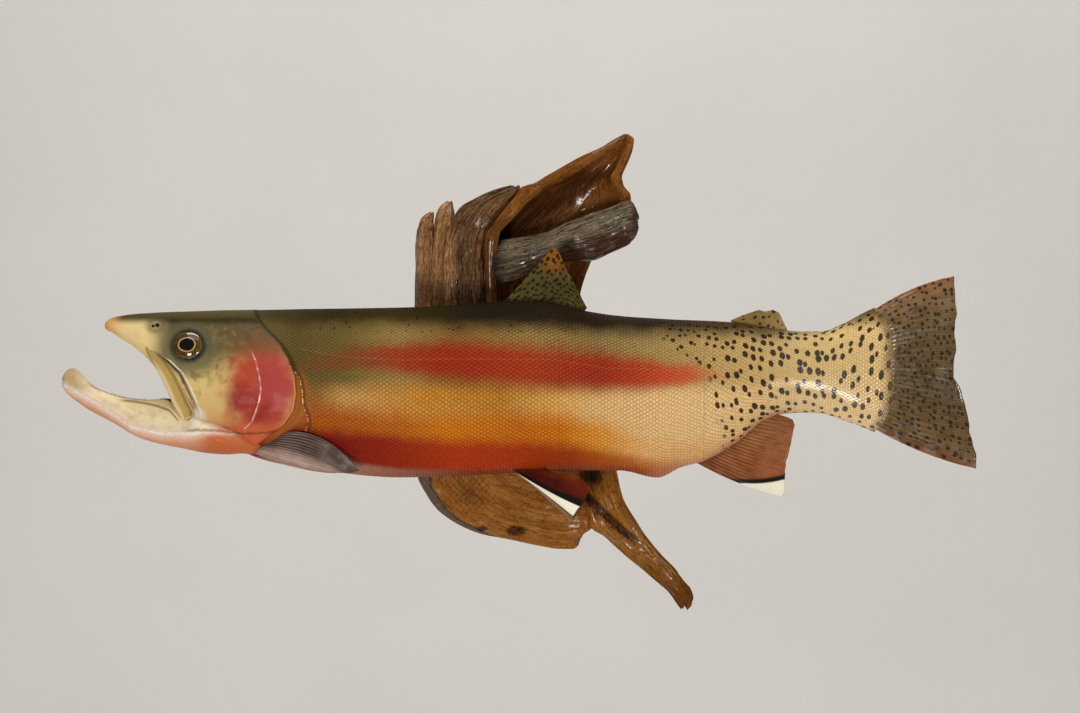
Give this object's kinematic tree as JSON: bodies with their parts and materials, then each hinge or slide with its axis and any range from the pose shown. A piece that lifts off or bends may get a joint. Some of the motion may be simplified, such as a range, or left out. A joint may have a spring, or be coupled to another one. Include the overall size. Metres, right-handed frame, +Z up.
{
  "type": "mounted trout",
  "caption": "Wall-hung golden trout skin mount, hook-jawed male with its mouth open, fixed to weathered driftwood.",
  "frame": {"origin": "middle of the flat back of the driftwood, where it lies on the wall", "axes": "+X from the head towards the tail, +Y out of the back into the wall, +Z up; the fish's left side faces -Y"},
  "size_m": [0.7458, 0.1496, 0.3924],
  "materials": {
    "head_skin": "painted skin under clear gloss lacquer, olive above and tan on the cheek",
    "body_skin": "painted scaled skin under clear gloss lacquer, olive back, red band, orange belly",
    "tail_skin": "painted scaled skin under clear gloss lacquer, cream yellow with black spots",
    "jaw_skin": "painted skin under clear gloss lacquer, pale tan and pink",
    "gill_cover_skin": "painted skin under clear gloss lacquer, rose red",
    "upper_fins": "lacquered fin, olive brown with rows of dark spots",
    "lower_fins": "lacquered fin, red brown with a dark band and white edge",
    "breast_fins": "lacquered fin, grey above and pale pink below",
    "eye_glass": "domed glass eye, dark pupil in a gold-brown iris",
    "driftwood": "weathered driftwood, varnished",
    "driftwood_dark": "weathered driftwood, darker and redder, varnished",
    "block_wood": "plain sawn wood"
  },
  "bodies": {
    "root": {"adipose_fin": "upper_fins", "anal_fin": "lower_fins", "caudal_fin": "upper_fins", "dorsal_fin": "upper_fins", "driftwood_branch": "driftwood", "driftwood_core": "driftwood", "driftwood_curl": "driftwood_dark", "driftwood_lower": "driftwood", "driftwood_root": "driftwood_dark", "driftwood_slab": "driftwood", "eye_left": "eye_glass", "eye_right": "eye_glass", "gill_cover_left": "gill_cover_skin", "gill_cover_right": "gill_cover_skin", "head": "head_skin", "lower_jaw": "jaw_skin", "maxilla_left": "jaw_skin", "maxilla_right": "jaw_skin", "mount_block": "block_wood", "pectoral_fin_left": "breast_fins", "pectoral_fin_right": "breast_fins", "pelvic_fin_left": "lower_fins", "pelvic_fin_right": "lower_fins", "tail": "tail_skin", "trunk": "body_skin"}
  },
  "joints": []
}
